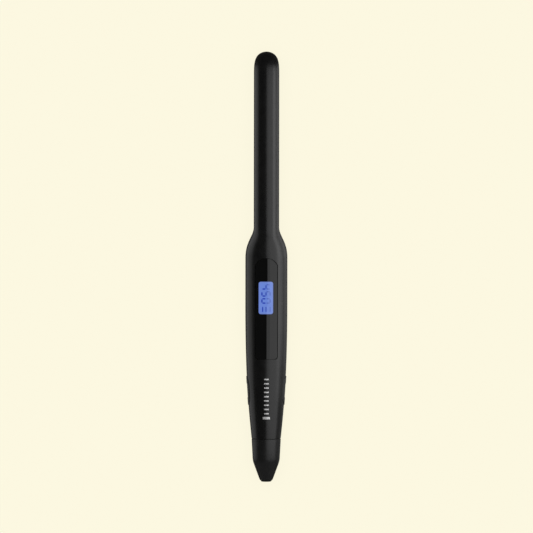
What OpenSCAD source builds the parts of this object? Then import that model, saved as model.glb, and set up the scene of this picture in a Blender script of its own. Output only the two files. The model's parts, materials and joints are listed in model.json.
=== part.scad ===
// Slim two-armed curling iron with a display.
// It lies on a table, display up: the length runs along Y with the tip towards +Y,
// X is across, Z is up, and the table is at Z = 0. Along the iron, places are given
// as stations: the distance in mm from the end of the tail.

/* [Overall] */
// Length from the tail end to the tip
total_len = 277; // [260:1:300]
// Widest diameter of the grip
grip_dia = 27.1; // [26:0.1:29]
// Diameter of the round barrel
barrel_dia = 16.4; // [15:0.1:18]
// Height of the iron's axis above the table
axis_z = 12.9; // [12.5:0.1:13.1]
// Wall thickness of the shells
wall = 1.5; // [1.2:0.1:1.8]

/* [Tail] */
// Station of the seam between the tail cone and the arms
seam_station = 27.7; // [25:0.1:30]
// Width of that seam
seam_gap = 0.3; // [0.3:0.1:0.6]
// Diameter of the tail at the seam
seam_dia = 18.8; // [18:0.1:19.5]
// Diameter of the hole that the cord comes out of
cord_hole_dia = 5.2; // [4.6:0.1:5.6]

/* [Hinge] */
// Station of the hinge pin
hinge_station = 58.7; // [57:0.1:60]
// Diameter of the hinge pin
pin_dia = 4; // [3.4:0.1:4.4]
// Radial clearance between the pin and its bush, and of the swivel
running_gap = 0.05; // [0.02:0.01:0.08]
// Length of the two covers on the flanks
cap_len = 18.7; // [16:0.1:20]
// Height of the two covers on the flanks
cap_height = 11; // [9:0.5:12]

/* [Display] */
// Width of the glossy panel
panel_w = 14; // [13:0.1:15]
// Station of the panel's straight end
panel_start = 79.3; // [78:0.1:81]
// Station of the crown of the panel's arched end
panel_end = 143.6; // [140:0.1:146]
// Width of the display window
window_w = 9.3; // [7:0.1:10]
// Length of the display window
window_len = 20.8; // [18:0.1:24]
// Station of the middle of the display window
window_station = 118.4; // [116:0.1:120]
// Sideways place of the display window
window_x = -0.3; // [-1:0.1:1]

/* [Buttons] */
// Diameter of the power button
power_dia = 6; // [5:0.5:7]
// Diameter of the plus and minus buttons
step_dia = 5; // [4:0.5:6]
// Travel of the buttons
button_travel = 0.8; // [0.5:0.1:0.9]

/* [Hidden] */
$fn = 96;

eps = 0.01;
far = 400;                                  // longer than anything in the iron
grip_r = grip_dia / 2;
barrel_r = barrel_dia / 2;
seam_r = seam_dia / 2;
pin_r = pin_dia / 2;
cord_r = cord_hole_dia / 2;

// Where the arms part: each shell stops this far from the middle plane, each hair
// plate stops nearer to it, and the inner covers lie deeper
shell_part = 0.4;
plate_part = 0.2;
cover_face = 1.6;
cover_t = 1.4;
cover_back = cover_face + cover_t;

// Stations along the arms
grip_start = seam_station + seam_gap / 2;   // tail end of the arms
grip_full = 115;                            // the grip reaches its full width here
shoulder_start = 144;
shoulder_end = 164;
tip_len = 18;                               // length of the rounded tip
tip_power = 4.7;                            // how blunt the tip is: 2 would be an ellipse
tip_start = total_len - tip_len;
cover_start = 77;                           // inner covers
cover_end = 166;
plate_start = 166.8;                        // hair plates
plate_end = 269.4;
heater_start = 176;
heater_end = 260;

// The hinge: the arms' ends are round about the pin, so they turn past each other
housing_r = 14.2;
arm_end_r = 14.5;
knuckle_r = 5;
knuckle_half = 3;
bush_r = 3;
cheek_in = 5.4;
cheek_out = 9.1;

// The tail: its widest point below the sleeve, and a lip that closes the seam from inside
cone_r = 8.65;
cone_station = 13.3;
cone_end = seam_station - seam_gap / 2;
tail_round = 2.8;                           // rounding of the tail's end
tail_end_r = 1.8;                           // radius of the flat within that rounding
lip_r_out = 8.2;
lip_r_in = 7.6;
lip_len = 0.9;
lip_room = 0.25;                            // clearance round the lip

// The swivel's bearing
socket_start = grip_start + 1;
socket_end = grip_start + 6;
bearing_r = 4;
collar_r = 5.4;
collar_t = 1.6;
thrust_gap = 0.5;                           // end play at each side of the socket
spindle_bore = 2.8;
ring_stations = [38.2, 41.7];               // the two slip rings
ring_w = 1.6;
ring_r = 4.5;

panel_gap = 0.3;                            // gap round the display panel

// The circuit board hangs above the inner cover
board_z = 7;
board_t = 1.2;
board_w = 12.4;
board_start = 82.5;
board_end = 146;
board_screw_stations = [85.5, 141];
cover_screw_stations = [80, 153];
button_stations = [90, 101, 112];           // power, plus, minus
button_face = 0.6;                          // height of the buttons' outer faces
switch_tip = board_z - 1.9;                 // height of the key switches' plungers

// ---- Curves -----------------------------------------------------------------

function bezier(a, b, c, d, t) =
    pow(1 - t, 3) * a + 3 * pow(1 - t, 2) * t * b + 3 * (1 - t) * t * t * c + t * t * t * d;

function curve(a, b, c, d, steps) =
    [for (i = [0 : steps]) bezier(a, b, c, d, i / steps)];

// Points of an arc about [x, y], from one angle to another
function arc(x, y, r, from, to, steps) =
    [for (i = [0 : steps]) let (v = from + (to - from) * i / steps) [x + r * cos(v), y + r * sin(v)]];

// The outline of the arms as [radius, station], moved inwards by inset
function arm_outline(inset) = concat(
    [for (p = curve([seam_r, grip_start], [seam_r + 2.3, grip_start + 22],
                    [grip_r, grip_full - 45], [grip_r, grip_full], 14)) p - [inset, 0]],
    [for (p = curve([grip_r, shoulder_start], [grip_r, shoulder_start + 11],
                    [barrel_r, shoulder_end - 6], [barrel_r, shoulder_end], 12)) p - [inset, 0]],
    [for (i = [0 : 16]) let (v = 90 * i / 16)
        [(barrel_r - inset) * cos(v), tip_start + (tip_len - inset) * pow(sin(v), 2 / tip_power)]]
);

// The outline of the tail cone: a rounded end, a cone, a soft shoulder and a sleeve
tail_outline = concat(
    arc(tail_end_r, tail_round, tail_round, -90, -20, 8),
    curve([cone_r - 1.1, cone_station - 3], [cone_r - 0.35, cone_station - 1],
          [cone_r - 0.05, cone_station], [cone_r + 0.1, cone_station + 1.6], 8),
    [[seam_r, cone_end]]
);

// ---- Helpers ----------------------------------------------------------------

// Puts its children on the iron's axis at a station
module at_station(s) {
    translate([0, s - total_len / 2, axis_z]) children();
}

// Turns an outline of [radius, station] points about the iron's axis
module turned(points) {
    at_station(0) rotate([-90, 0, 0]) rotate_extrude() polygon(points);
}

// The arms' full round form, moved inwards by inset
module arm_form(inset = 0) {
    turned(concat([[0, grip_start]], arm_outline(inset)));
}

// A block given by its stations, its two x values and its two heights above the axis
module block(s0, s1, x0, x1, z0, z1) {
    at_station(s0) translate([x0, 0, z0]) cube([x1 - x0, s1 - s0, z1 - z0]);
}

// A block that is centred across the iron
module bar(s0, s1, w, z0, z1) {
    block(s0, s1, -w / 2, w / 2, z0, z1);
}

// A block centred under the display window
module around_window(half_w, half_len, z0, z1) {
    block(window_station - half_len, window_station + half_len, window_x - half_w, window_x + half_w, z0, z1);
}

// An upright cylinder
module post(s, x, r, z0, z1) {
    at_station(s) translate([x, 0, z0]) cylinder(r = r, h = z1 - z0);
}

// A cylinder across the iron, about the hinge line
module cross_rod(r, x0, x1) {
    at_station(hinge_station) translate([x0, 0, 0]) rotate([0, 90, 0]) cylinder(r = r, h = x1 - x0);
}

// A cylinder along the iron
module along(s0, s1, r, x = 0, z = 0) {
    at_station(s0) translate([x, 0, z]) rotate([-90, 0, 0]) cylinder(r = r, h = s1 - s0);
}

// A sleeve along the iron
module sleeve(s0, s1, r_out, r_in) {
    turned([[r_in, s0], [r_out, s0], [r_out, s1], [r_in, s1]]);
}

// The outline of one flank cover, an upright slot shape that runs across the iron
module flank_slot(grow) {
    r = cap_height / 2 + grow;
    for (end = [-1, 1])
        at_station(hinge_station + end * (cap_len / 2 - cap_height / 2))
            rotate([0, 90, 0]) cylinder(r = r, h = 60, center = true);
    bar(hinge_station - cap_len / 2 + cap_height / 2, hinge_station + cap_len / 2 - cap_height / 2, 60, -r, r);
}

// Everything further than x from the middle plane, on both flanks
module flanks(x) {
    for (side = [-1, 1])
        translate([side * (x + 30), 0, 0]) cube([60, far, far], center = true);
}

// The display panel seen from above: rounded corners and an arched end
module panel_shape(grow) {
    w = panel_w / 2;
    corner = 1.6;
    arch_r = 7.7;
    arch_station = panel_end - arch_r;
    arch_angle = acos(w / arch_r);
    at_station(0) linear_extrude(20) offset(delta = grow) polygon(concat(
        arc(-w + corner, panel_start + corner, corner, 180, 270, 6),
        arc(w - corner, panel_start + corner, corner, 270, 360, 6),
        arc(0, arch_station, arch_r, arch_angle, 180 - arch_angle, 18)
    ));
}

// The display window seen from above
module window_shape(grow) {
    w = window_w / 2 + grow;
    len = window_len / 2 + grow;
    r = 1.5 + grow;
    at_station(window_station) translate([window_x, 0, 0]) linear_extrude(20) polygon(concat(
        arc(w - r, len - r, r, 0, 90, 5),
        arc(-w + r, len - r, r, 90, 180, 5),
        arc(-w + r, -len + r, r, 180, 270, 5),
        arc(w - r, -len + r, r, 270, 360, 5)
    ));
}

// The space of the upper arm, or mirrored that of the lower one, from a height up
module above(z) {
    at_station(-20) translate([-50, 0, z]) cube([100, far, 50]);
}

module other_arm() {
    translate([0, 0, 2 * axis_z]) mirror([0, 0, 1]) children();
}

// A tube along points, as one swept solid
function unit(v) = v / norm(v);
function heading(pts, i) = unit(pts[min(i + 1, len(pts) - 1)] - pts[max(i - 1, 0)]);
function side_of(d) = unit(cross(d, abs(d[0]) < 0.7 ? [1, 0, 0] : [0, 0, 1]));

module tube(pts, r, sides = 10) {
    n = len(pts);
    rings = [for (i = [0 : n - 1]) let (d = heading(pts, i), u = side_of(d), w = cross(d, u))
        for (k = [0 : sides - 1]) let (v = 360 * k / sides) pts[i] + r * (cos(v) * u + sin(v) * w)];
    skins = [for (i = [0 : n - 2]) for (k = [0 : sides - 1]) let (m = (k + 1) % sides)
        [i * sides + k, i * sides + m, (i + 1) * sides + m, (i + 1) * sides + k]];
    ends = [[for (k = [sides - 1 : -1 : 0]) k], [for (k = [0 : sides - 1]) (n - 1) * sides + k]];
    polyhedron(points = rings, faces = concat(skins, ends));
}

// ---- Pieces that both arms have ---------------------------------------------

// Inner cover, drawn for the upper arm: it follows the inside of the shell
module inner_cover() {
    difference() {
        intersection() {
            arm_form(wall + 0.15);
            bar(cover_start, cover_end, 40, cover_face, cover_back);
        }
        for (s = cover_screw_stations) {
            post(s, 0, 1.0, 0, 5);
            post(s, 0, 1.8, 0, cover_face + 0.9);
        }
    }
}

// Cover screws: a flat head in its counterbore and a shank up into the boss
module cover_screws() {
    for (s = cover_screw_stations)
        difference() {
            union() {
                post(s, 0, 1.7, cover_face + 0.15, cover_face + 0.85);
                post(s, 0, 0.9, cover_face + 0.5, cover_back + 4.5);
            }
            bar(s - 1.2, s + 1.2, 0.4, cover_face, cover_face + 0.5);
        }
}

// Bosses for the cover screws, reaching down from the shell
module cover_bosses() {
    intersection() {
        arm_form(wall / 2);
        for (s = cover_screw_stations)
            difference() {
                post(s, 0, 2.3, cover_back + 0.05, 14);
                post(s, 0, 0.95, cover_back - 1, cover_back + 5);
            }
    }
}

// Hair plate with two rails on its back that the heater lies between
module hair_plate() {
    plate_w = 11.6;
    rail = 0.7;
    bar(plate_start, plate_end, plate_w, plate_part, 1.5);
    for (side = [-1, 1])
        block(plate_start + 4, plate_end - 4, side * 3.8 - rail / 2, side * 3.8 + rail / 2, 1.5 - eps, 2.6);
}

// Flat ceramic heater strip with its two contact tabs
module heater() {
    bar(heater_start, heater_end, 6.4, 1.55, 2.75);
    for (side = [-1, 1])
        block(heater_start - 4, heater_start + 1, side * 1.6 - 0.6, side * 1.6 + 0.6, 2.2, 2.6);
}

// Carrier that presses the heater onto the plate: a ribbed half-round bar
module heater_carrier() {
    rib_count = 7;
    rib_pitch = (heater_end - heater_start - 8) / (rib_count - 1);
    bar(heater_start + 2, heater_end - 2, 6.2, 2.85, 4.0);
    intersection() {
        arm_form(wall + 0.15);
        for (i = [0 : rib_count - 1])
            bar(heater_start + 4 + i * rib_pitch - 0.8, heater_start + 4 + i * rib_pitch + 0.8, 9, 4.0 - eps, 8);
    }
}

// Two insulated leads from the heater's tabs to a station in the grip
module heater_leads(end_station, end_z) {
    for (side = [-1, 1])
        at_station(0) tube([
            [side * 1.6, heater_start - 1.5, 3.15],
            [side * 1.6, heater_start - 6, 3.3],
            [side * 1.7, heater_start - 12, 4],
            [side * 2.2, 158, 4.4],
            [side * 3.6, 154, 4.8],
            [side * 3.8, 151, 5.2],
            [side * 3.6, end_station + 3, end_z],
            [side * 3.4, end_station, end_z]
        ], 0.55);
}

// ---- Lower arm ----------------------------------------------------------------

// Half-round shell with a flat along its belly, which it rests on
module lower_shell() {
    color([0.07, 0.07, 0.075]) difference() {
        union() {
            other_arm() difference() {
                arm_form();
                arm_form(wall);
                mirror([0, 0, 1]) translate([0, 0, -2 * axis_z]) above(-shell_part);
            }
            other_arm() cover_bosses();
            // seat for the hinge tongue, on two walls
            intersection() {
                arm_form(wall / 2);
                for (x = [-4.2, 4.2])
                    block(75, 89, x - 0.8, x + 0.8, -13, -7.25);
            }
        }
        translate([0, 0, -20]) cube([100, far, 40], center = true);
        cross_rod(arm_end_r, -50, 50);
        block(0, hinge_station, -50, 50, -50, 50);
    }
}

module lower_inner_cover() {
    color([0.1, 0.1, 0.105]) other_arm() inner_cover();
}

module lower_plate() {
    color([0.16, 0.15, 0.15]) other_arm() hair_plate();
}

module lower_heater() {
    color([0.92, 0.91, 0.88]) other_arm() heater();
}

module lower_carrier() {
    color([0.75, 0.72, 0.62]) other_arm() heater_carrier();
}

module lower_leads() {
    color([0.8, 0.1, 0.08]) other_arm() heater_leads(96, 6.2);
}

// Thermal fuse: a small metal can with its two wires, lying in the grip
module thermal_fuse() {
    fuse_z = -10.1;
    color([0.8, 0.78, 0.7]) {
        along(112, 123, 1.6, 0, fuse_z);
        along(104, 131, 0.4, 0, fuse_z);
    }
}

module lower_cover_screws() {
    color([0.55, 0.55, 0.57]) other_arm() cover_screws();
}

// Hinge tongue: a knuckle round the pin and a flat foot inside the lower arm
module hinge_tongue() {
    foot_top = -3.6;
    foot_bottom = -7.2;
    color([0.12, 0.12, 0.125]) difference() {
        union() {
            cross_rod(knuckle_r, -knuckle_half, knuckle_half);
            bar(hinge_station, 76, 2 * knuckle_half, foot_bottom + 1.4, foot_top + 0.2);
            bar(74, 88.5, 10.4, foot_bottom, foot_top);
        }
        cross_rod(bush_r + 0.01, -20, 20);
        post(80, 0, 2.6, -20, 0);
    }
}

module hinge_bush() {
    color([0.9, 0.88, 0.82]) difference() {
        cross_rod(bush_r, -knuckle_half - 0.3, knuckle_half + 0.3);
        cross_rod(pin_r + running_gap, -20, 20);
    }
}

// Two small torsion springs round the pin, one each side of the knuckle
module hinge_springs() {
    wire_r = 0.3;
    coil_r = 3.3;
    turns = 2;
    steps = 20;
    color([0.72, 0.72, 0.74])
        for (side = [-1, 1])
            at_station(hinge_station) tube(concat(
                [[side * 3.75, 14.8, -4.6], [side * 3.75, 8, -coil_r - 0.2]],
                [for (i = [0 : turns * steps]) let (v = -90 - 360 * i / steps)
                    [side * (3.75 + 1.1 * i / (turns * steps)), coil_r * cos(v), coil_r * sin(v)]],
                [[side * 4.85, -4, -coil_r - 0.6]]
            ), wire_r, 8);
}

// ---- Upper arm ----------------------------------------------------------------

// Half-round shell with the display recess, the pin's cheeks and the bosses
module upper_shell() {
    color([0.07, 0.07, 0.075]) difference() {
        union() {
            difference() {
                arm_form();
                arm_form(wall);
                // the lower arm's half, and the housing cover's half behind it
                other_arm() difference() {
                    above(-shell_part);
                    cross_rod(housing_r, -50, 50);
                    block(0, hinge_station, -50, 50, -50, 50);
                }
                other_arm() above(-0.05);
            }
            // a thicker floor under the display panel
            intersection() {
                difference() {
                    arm_form(wall - 0.3);
                    arm_form(wall + 0.9);
                }
                panel_shape(1.2);
            }
            cover_bosses();
            board_bosses();
            pin_cheeks();
        }
        // recess for the panel and the opening under the window
        intersection() {
            difference() {
                arm_form(-1);
                arm_form(1.1);
            }
            panel_shape(panel_gap);
        }
        window_shape(0.6);
        flank_openings();
        lip_rebate();
        cross_rod(pin_r + 0.01, -cheek_out - 1, cheek_out + 1);
    }
}

module board_bosses() {
    intersection() {
        arm_form(wall / 2);
        for (s = board_screw_stations)
            difference() {
                post(s, 0, 2.2, board_z + board_t + 0.05, 14);
                post(s, 0, 0.85, board_z, board_z + board_t + 2.4);
            }
    }
}

module pin_cheeks() {
    intersection() {
        arm_form(wall + 0.15);
        union() {
            for (side = [-1, 1])
                block(hinge_station - 5, hinge_station + 5,
                      min(side * cheek_in, side * cheek_out), max(side * cheek_in, side * cheek_out), -4, 14);
        }
    }
    // where the cheeks meet the roof of the shell
    intersection() {
        arm_form(wall / 2);
        for (side = [-1, 1])
            block(hinge_station - 5, hinge_station + 5,
                  min(side * cheek_in, side * cheek_out), max(side * cheek_in, side * cheek_out), 4, 14);
    }
}

// Room inside the arms' end for the lip of the tail cone
module lip_rebate() {
    along(grip_start - 1, cone_end + lip_len + lip_room, lip_r_out + lip_room);
}

module flank_openings() {
    intersection() {
        flank_slot(0.15);
        flanks(cheek_out + 0.1);
    }
}

// Underside of the hinge housing, from the seam to the round end of the arm
module housing_cover() {
    color([0.07, 0.07, 0.075]) difference() {
        intersection() {
            difference() {
                arm_form();
                arm_form(wall);
            }
            union() {
                cross_rod(housing_r, -50, 50);
                block(0, hinge_station, -50, 50, -50, 50);
            }
        }
        above(-0.05);
        flank_openings();
        lip_rebate();
    }
}

module upper_inner_cover() {
    color([0.1, 0.1, 0.105]) difference() {
        inner_cover();
        for (i = [0 : 2])
            post(button_stations[i], 0, (i == 0 ? power_dia : step_dia) / 2 + 0.3, 0, 5);
    }
}

module upper_plate() {
    color([0.16, 0.15, 0.15]) hair_plate();
}

module upper_heater() {
    color([0.92, 0.91, 0.88]) heater();
}

module upper_carrier() {
    color([0.75, 0.72, 0.62]) difference() {
        heater_carrier();
        along(heater_start + 10, heater_start + 22, 1.0, 0, 4.2);
    }
}

// Temperature sensor: a glass bead in a groove of the heater's carrier
module thermistor() {
    color([0.75, 0.35, 0.2]) {
        along(heater_start + 13, heater_start + 18, 0.8, 0, 4.2);
        along(heater_start + 11, heater_start + 20, 0.3, 0, 4.2);
    }
}

module upper_leads() {
    color([0.8, 0.1, 0.08]) heater_leads(board_end + 0.4, 6.4);
}

// Glossy panel, flush with the shell, with the display window's opening
module display_panel() {
    color([0.02, 0.02, 0.022]) difference() {
        intersection() {
            difference() {
                arm_form(0.02);
                arm_form(1.0);
            }
            panel_shape(0);
        }
        window_shape(0.05);
    }
}

module display_window() {
    color([0.35, 0.45, 0.85]) intersection() {
        difference() {
            arm_form(0.04);
            arm_form(1.0);
        }
        window_shape(0);
    }
}

module display_module() {
    half_w = window_w / 2;
    half_len = window_len / 2 + 0.2;
    frame_t = 0.35;
    color([0.5, 0.55, 0.6]) {
        around_window(half_w, half_len, 9.3, 10.8);
        // frame that clips it to the board
        difference() {
            around_window(half_w + frame_t, half_len + frame_t, board_z + board_t + 0.05, 9.9);
            around_window(half_w, half_len, 8, 10);
        }
    }
}

module backlight() {
    color([0.85, 0.9, 1]) around_window(window_w / 2 - 0.1, window_len / 2, 8.4, 9.2);
}

module circuit_board() {
    color([0.1, 0.35, 0.2]) difference() {
        bar(board_start, board_end, board_w, board_z, board_z + board_t);
        for (s = board_screw_stations)
            post(s, 0, 1.0, board_z - 1, board_z + board_t + 1);
    }
}

// Chips and power parts on the board's underside, past the buttons
module board_components() {
    color([0.15, 0.15, 0.16]) {
        bar(119, 127, 5, board_z - 1.4, board_z - 0.05);
        block(129, 137, 1.6, 5.8, board_z - 3.2, board_z - 0.05);
        block(130, 136, -5.4, -2.6, board_z - 2.4, board_z - 0.05);
        at_station(122) for (x = [-4.4, 4.4]) translate([x, 0, board_z - 3])
            cylinder(r = 1.6, h = 2.95);
    }
}

// A key switch above each button: a low body and its plunger
module key_switches() {
    color([0.7, 0.7, 0.72])
        for (s = button_stations) {
            bar(s - 2.6, s + 2.6, 5.2, board_z - 1.5, board_z - 0.05);
            post(s, 0, 1.2, switch_tip, board_z - 1.4);
        }
}

module board_screws() {
    color([0.6, 0.6, 0.62])
        for (s = board_screw_stations)
            difference() {
                union() {
                    post(s, 0, 1.6, board_z - 0.95, board_z - 0.05);
                    post(s, 0, 0.8, board_z - 0.5, board_z + board_t + 2.2);
                }
                bar(s - 1, s + 1, 0.4, board_z - 1.2, board_z - 0.6);
            }
}

module upper_cover_screws() {
    color([0.55, 0.55, 0.57]) cover_screws();
}

module hinge_pin() {
    color([0.75, 0.75, 0.77]) cross_rod(pin_r, -cheek_out, cheek_out);
}

// Covers over the ends of the pin: they follow the flanks and stand a little proud,
// with a shallow round dish over the pin
module hinge_caps() {
    proud = 0.34;
    cap_t = 1.1;
    dish_r = 4.7;
    dish_depth = 0.22;
    color([0.08, 0.08, 0.085]) {
        intersection() {
            difference() {
                arm_form(-proud);
                arm_form(cap_t);
                difference() {
                    cross_rod(dish_r, -20, 20);
                    arm_form(dish_depth - proud);
                }
            }
            flank_slot(0);
            flanks(cheek_out + 0.1);
        }
        // stub that seats on the end of the pin
        intersection() {
            arm_form(cap_t - 0.2);
            cross_rod(pin_r - 0.2, -20, 20);
            flanks(cheek_out + 0.05);
        }
    }
}

// Bearing ring of the swivel, held between the two halves of the housing
module swivel_socket() {
    color([0.85, 0.84, 0.8])
        sleeve(socket_start, socket_end, seam_r - wall - 0.1, bearing_r + running_gap);
}

// Two pairs of leaf contacts beside the slip rings, on a small insulating block
module swivel_contacts() {
    leaf_x = ring_r + 0.45;
    color([0.85, 0.6, 0.25]) {
        for (s = ring_stations)
            for (side = [-1, 1])
                block(s - 0.6, s + 0.6, side * leaf_x - 0.12, side * leaf_x + 0.12, -2, 6);
        bar(36.6, 43.6, 10.4, 5.9, 6.7);
    }
}

// ---- Buttons --------------------------------------------------------------------

// A round key with a collar above the inner cover, and a crowned outer face
module button(s, dia) {
    collar_z = cover_back + 0.3;
    collar_top = switch_tip - button_travel - 0.4;
    edge = 0.5;
    r = dia / 2;
    at_station(s) rotate_extrude() polygon(concat(
        [[0, button_face]],
        arc(r - edge, button_face + edge, edge, -90, 0, 5),
        [[r, collar_z], [r + 1, collar_z], [r + 1, collar_top], [0, collar_top]]
    ));
}

module power_button() {
    color([0.75, 0.75, 0.77]) button(button_stations[0], power_dia);
}

// The plus and minus signs are shallow grooves in the buttons' faces
module sign_groove(s, turn) {
    at_station(s) rotate([0, 0, turn])
        translate([-1.3, -0.25, button_face - 1]) cube([2.6, 0.5, 1.25]);
}

module plus_button() {
    color([0.13, 0.13, 0.14]) difference() {
        button(button_stations[1], step_dia);
        sign_groove(button_stations[1], 0);
        sign_groove(button_stations[1], 90);
    }
}

module minus_button() {
    color([0.13, 0.13, 0.14]) difference() {
        button(button_stations[2], step_dia);
        sign_groove(button_stations[2], 0);
    }
}

// ---- Tail -----------------------------------------------------------------------

// Hollow cone that turns with the cord, with a lip that reaches in behind the seam
module tail_cone() {
    tail_wall = 1.3;
    color([0.07, 0.07, 0.075]) difference() {
        turned(concat([[0, 0]], tail_outline, [
            [lip_r_out, cone_end], [lip_r_out, cone_end + lip_len], [0, cone_end + lip_len]
        ]));
        turned([
            [0, -1], [3.35, -1], [3.35, 4], [4.4, 4], [4.4, 5.6], [5.4, 9],
            [cone_r - tail_wall, cone_station + 1], [lip_r_in, 24], [lip_r_in, 40], [0, 40]
        ]);
    }
}

// Hollow spindle: a flange inside the cone, a bearing, a collar and the ring carrier
module swivel_spindle() {
    flange_r = 7.3;
    hub_r = 5.6;
    hub_end = socket_start - thrust_gap;
    collar_start = socket_end + thrust_gap;
    color([0.2, 0.2, 0.21]) turned([
        [spindle_bore, 19], [flange_r, 19], [flange_r, 21], [hub_r, 21], [hub_r, hub_end],
        [bearing_r, hub_end], [bearing_r, collar_start], [collar_r, collar_start],
        [collar_r, collar_start + collar_t], [bearing_r, collar_start + collar_t],
        [bearing_r, 43.5], [spindle_bore, 43.5]
    ]);
}

module slip_rings() {
    color([0.85, 0.65, 0.3])
        for (s = ring_stations)
            sleeve(s - ring_w / 2, s + ring_w / 2, ring_r, bearing_r + 0.01);
}

// Soft gland that lines the cord's hole, with a collar that holds it in the cone
module cord_gland() {
    color([0.05, 0.05, 0.05]) turned([
        [cord_r, 0.25], [cord_r + 0.3, 0], [3.3, 0.35], [3.3, 4.15], [4.3, 4.15],
        [4.3, 5.4], [3.5, 5.5], [3.5, 12], [cord_r, 12]
    ]);
}

// Two-part clamp that grips the cord's jacket behind the gland
module cord_clamp() {
    clamp_r = 5.6;
    color([0.3, 0.3, 0.31]) difference() {
        along(13.5, 18, clamp_r);
        along(13, 19, cord_r);
        bar(13, 19, 20, -0.3, 0.3);
        for (side = [-1, 1])
            post(15.75, side * 4.1, 0.7, -10, 10);
    }
}

module clamp_screws() {
    color([0.6, 0.6, 0.62])
        for (side = [-1, 1])
            post(15.75, side * 4.1, 0.65, -3.6, 3.6);
}

lower_shell();
lower_inner_cover();
lower_plate();
lower_heater();
lower_carrier();
lower_leads();
thermal_fuse();
lower_cover_screws();
hinge_tongue();
hinge_bush();
hinge_springs();
upper_shell();
housing_cover();
upper_inner_cover();
upper_plate();
upper_heater();
upper_carrier();
thermistor();
upper_leads();
display_panel();
display_window();
display_module();
backlight();
circuit_board();
board_components();
key_switches();
board_screws();
upper_cover_screws();
hinge_pin();
hinge_caps();
swivel_socket();
swivel_contacts();
power_button();
plus_button();
minus_button();
tail_cone();
swivel_spindle();
slip_rings();
cord_gland();
cord_clamp();
clamp_screws();
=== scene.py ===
import json
import math

import bmesh
import bpy
import numpy as np
from mathutils import Matrix, Vector


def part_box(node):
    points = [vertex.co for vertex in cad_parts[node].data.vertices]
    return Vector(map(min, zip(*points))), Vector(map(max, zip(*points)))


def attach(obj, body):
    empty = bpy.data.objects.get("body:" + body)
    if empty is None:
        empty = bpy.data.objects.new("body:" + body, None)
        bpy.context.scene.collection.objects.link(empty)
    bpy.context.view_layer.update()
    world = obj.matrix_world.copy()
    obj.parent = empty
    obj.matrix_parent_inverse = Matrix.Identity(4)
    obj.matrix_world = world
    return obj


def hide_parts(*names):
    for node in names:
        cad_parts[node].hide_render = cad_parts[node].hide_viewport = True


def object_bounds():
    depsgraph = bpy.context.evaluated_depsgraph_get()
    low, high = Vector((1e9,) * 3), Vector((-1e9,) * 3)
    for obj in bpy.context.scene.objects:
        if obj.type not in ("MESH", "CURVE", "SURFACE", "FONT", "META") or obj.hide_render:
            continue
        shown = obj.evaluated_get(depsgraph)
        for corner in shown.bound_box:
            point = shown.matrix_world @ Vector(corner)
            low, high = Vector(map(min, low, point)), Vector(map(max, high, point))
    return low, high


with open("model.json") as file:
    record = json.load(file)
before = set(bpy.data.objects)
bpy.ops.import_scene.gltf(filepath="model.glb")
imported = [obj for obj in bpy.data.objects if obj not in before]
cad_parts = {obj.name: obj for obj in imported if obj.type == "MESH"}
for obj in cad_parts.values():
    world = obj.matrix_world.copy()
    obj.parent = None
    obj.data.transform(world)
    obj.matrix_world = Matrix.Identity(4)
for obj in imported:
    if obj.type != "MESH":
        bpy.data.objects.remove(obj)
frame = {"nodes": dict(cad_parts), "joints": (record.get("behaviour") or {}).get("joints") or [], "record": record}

cad_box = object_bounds()

# ---- The iron's frame, in mm --------------------------------------------------
# Places along the iron are stations, in mm from the tail's end. The tip, the axis
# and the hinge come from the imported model; the shell's outline repeats the CAD's
# driving dimensions.

MM = 0.001
HINGE = next(j for j in frame["joints"] if j["name"] == "arm_hinge")["pos_m"]
HALF = -cad_box[0][1] / MM  # from the tail's end to the frame's origin
AXIS = HINGE[2] / MM        # height of the iron's axis
HINGE_S = HINGE[1] / MM + HALF
TIP_S = 2 * HALF

GRIP_R, BARREL_R, SEAM_R = 13.55, 8.2, 9.4  # outer radii, the last one at the tail's seam
ARM_S = 27.85                       # where the shells begin, at the tail's seam
ROUND_S = 70                        # a plain station between the hinge and the grip
GRIP_S = 115                        # where the grip reaches its full width
SHOULDER_S, BARREL_S = 144, 164     # the ends of the shoulder
TIP_LEN, TIP_POWER = 18.0, 4.7      # the tip's rounding
DOME_S = TIP_S - TIP_LEN

WALL = 1.5
PART = 0.4              # each shell's distance from the parting plane
HOUSING_PART = 0.05     # the same along the hinge housing's seam
HOUSING_R = 14.2        # reach of the housing's round end about the pin
ARM_END_R = 14.5        # reach of the lower arm's round end
EDGE = 0.25             # softening of the shells' edges
SHARP = math.radians(28)  # edges beyond this angle stay sharp


def bezier(a, b, c, d, steps):
    """Points of a cubic curve between a and d."""
    t = np.linspace(0, 1, steps + 1)[:, None]
    a, b, c, d = (np.array(p, float) for p in (a, b, c, d))
    return (1 - t) ** 3 * a + 3 * (1 - t) ** 2 * t * b + 3 * (1 - t) * t * t * c + t ** 3 * d


def arc(centre, radius, start, end, steps):
    """Points of an arc, from one angle to another in degrees."""
    v = np.radians(np.linspace(start, end, steps + 1))
    return np.array(centre) + radius * np.stack([np.cos(v), np.sin(v)], axis=1)


# The arms' outline: the grip's taper, the shoulder, the straight barrel
OUTLINE = np.concatenate([
    bezier((ARM_S, SEAM_R), (ARM_S + 22, SEAM_R + 2.3), (70, GRIP_R), (GRIP_S, GRIP_R), 200),
    bezier((SHOULDER_S, GRIP_R), (155, GRIP_R), (158, BARREL_R), (BARREL_S, BARREL_R), 120),
    [[DOME_S, BARREL_R]],
])
SLOPE = np.gradient(OUTLINE[:, 1], OUTLINE[:, 0])


def radius(s):
    """The arms' outer radius at a station."""
    s = np.asarray(s, float)
    u = np.clip((s - DOME_S) / TIP_LEN, 0, 1)
    dome = BARREL_R * np.sqrt(1 - u ** TIP_POWER)
    return np.where(s > DOME_S, dome, np.interp(s, OUTLINE[:, 0], OUTLINE[:, 1]))


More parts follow.
